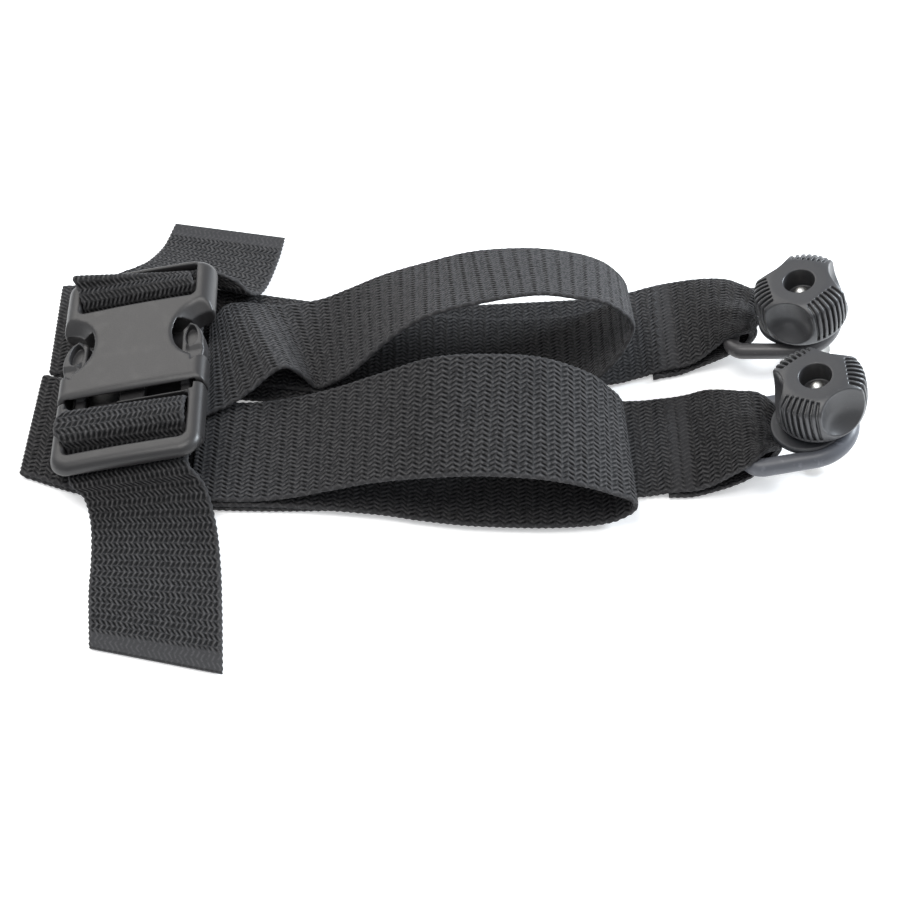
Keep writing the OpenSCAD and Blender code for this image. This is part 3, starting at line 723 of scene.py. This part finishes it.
def polygon_field(x, y, points):
    """Distance to a closed outline in the plane, negative inside."""
    d = np.full(x.shape, 1e9, np.float32)
    inside = np.zeros(x.shape, bool)
    for (ax, ay), (bx, by) in zip(points, points[1:] + points[:1]):
        ex, ey = bx - ax, by - ay
        t = np.clip(((x - ax) * ex + (y - ay) * ey) / (ex * ex + ey * ey), 0, 1)
        d = np.minimum(d, np.hypot(x - ax - t * ex, y - ay - t * ey))
        crosses = ((ay > y) != (by > y)) & (x < ex * (y - ay) / (ey if ey else 1e-9) + ax)
        inside ^= crosses
    return np.where(inside, -d, d)


# the right arm in the buckle's plane: root, outer side with its shoulder, pad, and back along the inside
ARM = [(19, -16.8), (23, -16.8), (23, -6), (24.2, -4.66), (27.9, -2.07), (28.4, 1), (28.1, 6.5), (26.9, 10.5),
       (25.1, 13.4), (22.5, 15.3), (20.5, 15), (19, 13)]


def arm(side, name):
    """One sprung arm; the left one, side -1, is the right one mirrored."""
    f = Field((16, -21, -6), (31, 18, 7), CELL)
    x, y, z = f.x, f.y, f.z
    shape = either(polygon_field(x, y, ARM), np.hypot(x - 21, y + 16.8) - 2, 0.3)
    # the pad is taller than the arm, and the root is thinner above
    rise = np.clip((x - 21.0) / 1.6, 0, 1) * np.clip((y - 0.5) / 2.0, 0, 1) * 1.5
    root = 2.4 * np.clip((-11.0 - y) / 3.0, 0, 1)
    body = both(shape, np.abs(z) - 3.1 - np.where(z > 0, rise - root, 0.3 * rise), 1.2)
    recess = (np.hypot((x - 23.2) / 2.5, (y - 8.2 + (x - 23.2) * 0.4) / 5.4) - 1) * 2.5
    body = cut(body, np.maximum(recess, 1.4 - z), 0.4)
    o = f.mesh(name, body, lambda points: buckle_to_row(points * np.array([side, 1, 1])))
    if side < 0:
        o.data.flip_normals()
    return o


# KNOB_MID is the height where the knob is widest; SLITS lie on each side of the one in a lobe's middle
KNOB_R, KNOB_TOP, KNOB_MID = 18.0, 19.5, 11
SLITS, SLIT_PITCH, SLIT_HALF, SLIT_START = 3, 2.35, 0.56, 11.4


def knob_mesh():
    """The knob in the bolt's frame, with its first lobe at angle 0."""
    f = Field((-19.5, -19.5, -1), (19.5, 19.5, 21), CELL)
    x, y, z = f.x, f.y, f.z
    r = np.hypot(x, y)

    def turned(degrees):
        """Distance out towards an angle, and across it."""
        a = math.radians(degrees)
        return x * math.cos(a) + y * math.sin(a), -x * math.sin(a) + y * math.cos(a)

    body = both(r - (KNOB_R - 0.012 * (z - KNOB_MID) ** 2), z - KNOB_TOP, 1.6)
    # the upper shoulder at 30 degrees, the lower taper, the foot
    body = both(body, (r - 12.8) * 0.5 + (z - KNOB_TOP) * 0.866, 1.4)
    body = both(body, (r - 16.8) * 0.93 - z * 0.36, 1.6)
    body = both(body, -z, 1.4)
    for k in range(3):
        # a finger's scoop between two lobes
        u, v = turned(60 + 120 * k)
        rise = (z - 11.5) * np.where(z < 11.5, 1.12, 0.55)
        body = cut(body, np.sqrt((u - 24.9) ** 2 + (v * 1.02) ** 2 + rise**2) - 13.6, 0.4)
        # each slit of a lobe starts in the top face, runs over the shoulder and on down the side
        u, v = turned(120 * k)
        for j in range(-SLITS, SLITS + 1):
            fan = v - j * SLIT_PITCH * (0.52 + 0.48 * np.clip(u / 17, 0.4, 1.1))
            floor_r = 16.0 - 0.012 * np.minimum(z - KNOB_MID, 0) ** 2 - 0.07 * j * j
            floor_z = 17.8 - 0.45 * (u - SLIT_START)
            depth = np.maximum(SLIT_START - u, np.minimum(floor_r - u, floor_z - z))
            slit = both(np.abs(fan) - SLIT_HALF, np.maximum(depth, 2.2 - z), 0.3)
            body = cut(body, slit, 0.2)
    # the bore above the bolt, the insert's seat, and the way through
    body = cut(body, np.maximum(r - 6.0, 10.8 - z), 0.5)
    body = cut(body, np.maximum(r - 5.0, z - 9.8))
    body = cut(body, r - 3.7)
    return f, body


# ---------- rings, bolts and knobs ----------

# The bolt's frame: its axis leans by LEAN, and height 0 is the middle of the ring's rod. Each ring is
# moved by shift and turned by yaw in that frame; first is the angle of the knob's first lobe in degrees,
# and rod is the thickness of the ring's rod.
LEAN = math.radians(15)
BOLT_TURN = np.array(Matrix.Rotation(-LEAN, 3, "Y"))
ENDS = {
    "near": {"at": np.array([140.2, -2.4, 19.5]), "shift": (-5.5, -2.6), "yaw": 0.0,
             "first": 0.0, "rod": 6.9},
    "far": {"at": np.array([140.2, 47.4, 19.5]), "shift": (-4.2, 3.2), "yaw": math.radians(-14),
            "first": 66.0, "rod": 6.3},
}
KNOB_FOOT = 6.2  # height of the knob's foot in the bolt's frame

# (radius, height) outlines in the bolt's frame
INSERT = [(3.08, 6.25), (4.9, 6.25), (4.95, 6.4), (4.95, 15.7), (4.7, 16), (3.3, 16), (3.08, 15.8),
          (3.08, 6.25)]
WASHER = [(3.2, 4.62), (8.7, 4.62), (9, 4.9), (9, 5.8), (8.7, 6.08), (3.4, 6.08), (3.2, 5.9), (3.2, 4.62)]
HEAD = [(0.0, -17.9), (6.6, -17.9), (7.4, -17.7), (7.9, -17.1), (8, -16.6), (8, -15.2), (7.8, -14.7),
        (7.3, -14.5), (3.3, -14.5), (3.0, -14.2)]
CREST, THREAD_ROOT, THREAD_PITCH, THREADS = 2.98, 2.66, 1.0, 29
DOME_R, DOME_FOOT = 2.9, 18.4


def bolt_outline():
    """Disc head, thread and domed tip, from axis to axis."""
    thread = []
    for k in range(THREADS):
        w = -13.6 + k * THREAD_PITCH
        thread += [(CREST, w), (CREST, w + 0.12), (THREAD_ROOT, w + 0.5), (THREAD_ROOT, w + 0.62),
                   (CREST, w + 0.96)]
    dome = [(DOME_R * math.cos(a), DOME_FOOT + DOME_R * math.sin(a))
            for a in np.linspace(0.1, math.pi / 2 - 0.02, 9)]
    return HEAD + thread[3:] + [(2.95, 15.6), (2.95, 18)] + dome + [(0.0, 21.3)]


def bolt_to_row(end, angle=0.0, shift=(0, 0, 0)):
    """The move from one end's bolt frame, turned and shifted in it, to the row."""
    turn = BOLT_TURN @ np.array(Matrix.Rotation(angle, 3, "Z"))
    return lambda p: row(ENDS[end]["at"] + BOLT_TURN @ np.array(shift) + np.asarray(p) @ turn.T)


def lathe(profile, to_row, name, steps=72):
    """A surface of revolution about the third axis; profile is (radius, height), closed on itself or
    from axis to axis."""
    profile = np.array(profile, float)
    a = np.arange(steps) * 2 * np.pi / steps
    p = np.stack([profile[:, None, 0] * np.cos(a), profile[:, None, 0] * np.sin(a),
                  profile[:, None, 1] + 0 * a], -1)
    o = mesh_object(name, to_row(p.reshape(-1, 3)), skin_faces(len(profile) - 1, steps))
    clean_up(o)
    return o


def tube(path, radius, to_row, name, sides=28):
    """A rod along a closed path in the plane of the ring."""
    path = np.array(path, float)
    run = unit(np.roll(path, -1, 0) - np.roll(path, 1, 0))
    up = np.array([0, 0, 1.0])
    out = unit(np.cross(run, up))
    a = np.arange(sides) * 2 * np.pi / sides
    p = path[:, None] + radius * (np.cos(a)[None, :, None] * out[:, None] + np.sin(a)[None, :, None] * up)
    n = len(path)
    i, j = np.meshgrid(np.arange(n), np.arange(sides), indexing="ij")
    i2, j2 = (i + 1) % n, (j + 1) % sides
    quads = np.stack([i * sides + j, i2 * sides + j, i2 * sides + j2, i * sides + j2], -1)
    o = mesh_object(name, to_row(p.reshape(-1, 3)), quads.reshape(-1, 4))
    clean_up(o)
    return o


def ring_path():
    """The middle of the rod: a half circle round the bolt, two straight sides, and the bar that the
    webbing holds, between rounded corners."""
    r, length, corner = 15.2, 39.4, 6.0
    bar = r - length
    quarter = np.linspace(0, math.pi / 2, 12)
    pts = [(r * math.cos(a), r * math.sin(a)) for a in np.linspace(-math.pi / 2, math.pi / 2, 41)]
    pts += [(x, r) for x in np.linspace(0, bar + corner, 14)[1:-1]]
    pts += [(bar + corner - corner * math.sin(a), r - corner + corner * math.cos(a)) for a in quarter]
    pts += [(bar, y) for y in np.linspace(r - corner, corner - r, 12)[1:-1]]
    pts += [(bar + corner - corner * math.cos(a), corner - r - corner * math.sin(a)) for a in quarter]
    pts += [(x, -r) for x in np.linspace(bar + corner, 0, 14)[1:-1]]
    return [(x, y, 0.0) for x, y in pts]


def buckle():
    shell = plastic_material("buckle_satin", (0.019, 0.0182, 0.0185), (0.026, 0.0248, 0.0252), 0.40)
    pad = plastic_material("arm_satin", (0.026, 0.025, 0.026), (0.033, 0.032, 0.033), 0.42)
    finish_piece(female(), shell, "harness", "buckle_plastic", "female_body")
    finish_piece(plug(), shell, "plug", "buckle_plastic", "plug_frame")
    finish_piece(arm(-1, "left_arm_pad"), pad, "arm_left", "arm_plastic", "arm_left")
    finish_piece(arm(1, "right_arm_pad"), pad, "arm_right", "arm_plastic", "arm_right")


def hardware():
    """On each strap's sewn end: the ring with its eye plate and washer, the bolt, the knob and its insert."""
    field, body = knob_mesh()
    # the knob's edges get a stronger painted highlight than the buckle's
    knob_plastic = plastic_material("knob_satin", (0.034, 0.034, 0.0355), (0.046, 0.0455, 0.048), 0.36,
                                    edge_highlight=0.5)
    steel = metal_material("zinc_plate", (0.74, 0.73, 0.70), (0.90, 0.88, 0.84), 0.42, 1.0)
    coats = {
        "near": metal_material("ring_coat_matte", (0.062, 0.065, 0.075), (0.094, 0.098, 0.112), 0.42, 0.0),
        "far": metal_material("ring_coat_worn", (0.048, 0.046, 0.048), (0.078, 0.075, 0.077), 0.34, 0.1),
    }
    # the eye plate's paint is darkened further as painted shade for the shadow under the knob
    plate_coat_and_painted_shade = metal_material("plate_coat_and_painted_shade", (0.020, 0.021, 0.024), (0.034, 0.035, 0.039), 0.45, 0.0)
    for end, e in ENDS.items():
        at = bolt_to_row(end)
        ring_to_row = bolt_to_row(end, e["yaw"], (*e["shift"], 0))
        knob_to_row = bolt_to_row(end, math.radians(e["first"]), (0, 0, KNOB_FOOT))
        o = field.mesh(end + "_knob_shell", body, knob_to_row)
        finish_piece(o, knob_plastic, end + "_knob", "knob_plastic", end + "_knob")
        o = lathe(INSERT, at, end + "_insert_sleeve")
        finish_piece(o, steel, end + "_knob", "zinc_steel", end + "_insert")
        o = lathe(bolt_outline(), at, end + "_bolt_turned")
        finish_piece(o, steel, end + "_bolt", "zinc_steel", end + "_bolt")
        o = lathe(WASHER, at, end + "_washer_turned")
        finish_piece(o, steel, end + "_ring", "zinc_steel", end + "_washer")
        o = tube(ring_path(), e["rod"] / 2, ring_to_row, end + "_ring_rod")
        finish_piece(o, coats[end], end + "_ring", "ring_coating", end + "_ring")
        o = eye_plate(end, e, ring_to_row)
        finish_piece(o, plate_coat_and_painted_shade, end + "_ring", "eye_plate_paint", end + "_eye_plate")


def eye_plate(end, e, ring_to_row):
    """A round plate on top of the ring, with a hole on the bolt's axis."""
    f = Field((-17, -17, 0.5), (17, 17, 6), CELL)
    x, y, z = f.x, f.y, f.z
    hole = np.array(Matrix.Rotation(-e["yaw"], 3, "Z")) @ np.array([-e["shift"][0], -e["shift"][1], 0])
    body = both(np.hypot(x, y) - 14.2, np.abs(z - 3.1) - 1.4, 1.0)
    body = cut(body, np.hypot(x - hole[0], y - hole[1]) - 3.1, 0.2)
    return f.mesh(end + "_eye_plate_shell", body, ring_to_row)


STITCHES, STITCH_ROWS = 17, 4.4  # how many stitches in a row, and from one row to the next
YARN_R = 0.22


def stitches(name, node, edge_a, edge_b, lift):
    """Two rows of slanted stitches over a sewn end, as short bowed threads."""
    a, b = np.array(edge_a, float), np.array(edge_b, float)
    verts, quads, tris = [], [], []
    sides, steps = 6, 5
    for line in (0, 1):
        for k in range(STITCHES):
            t = (k + 0.9) / (STITCHES + 0.8)
            mid = a + (b - a) * t + np.array([line * STITCH_ROWS, 0, 0])
            mid[2] += lift * (1 - (2 * t - 1) ** 2)
            way = np.array([0.9 * (1 if (k + line) % 2 else -1), 1.15, 0])
            out = unit(np.array([way[1], -way[0], 0.0]))
            base = len(verts)
            for i in range(steps):
                s = i / (steps - 1) * 2 - 1
                c = mid + way * s + np.array([0, 0, 0.3 * (1 - s * s) - 0.2])
                r = YARN_R * (1 - 0.45 * s**4)
                for j in range(sides):
                    q = 2 * math.pi * j / sides
                    verts.append(c + r * (math.cos(q) * out + math.sin(q) * np.array([0, 0, 1.0])))
            quads += (skin_faces(steps - 1, sides) + base).tolist()
            for p in (base, base + (steps - 1) * sides):
                tris += [[p, p + j, p + j + 1] for j in range(1, sides - 1)]
    o = mesh_object(name, row(np.array(verts)), quads, tris)
    clean_up(o, 1e-7)
    thread = plastic_material(name + "_yarn", (0.022, 0.022, 0.023), (0.036, 0.036, 0.038), 0.7, grain=2600.0)
    finish_piece(o, thread, "harness", "thread", node)


camera()
studio()
buckle()
hardware()
straps()
stitches("near_thread", "near_stitching", [84.6, -22.6, 3.75], [84.6, 23.4, 3.8], 0.35)
stitches("far_thread", "far_stitching", [83.6, 39.8, 3.7], [83.8, 86, 3.8], 0.35)
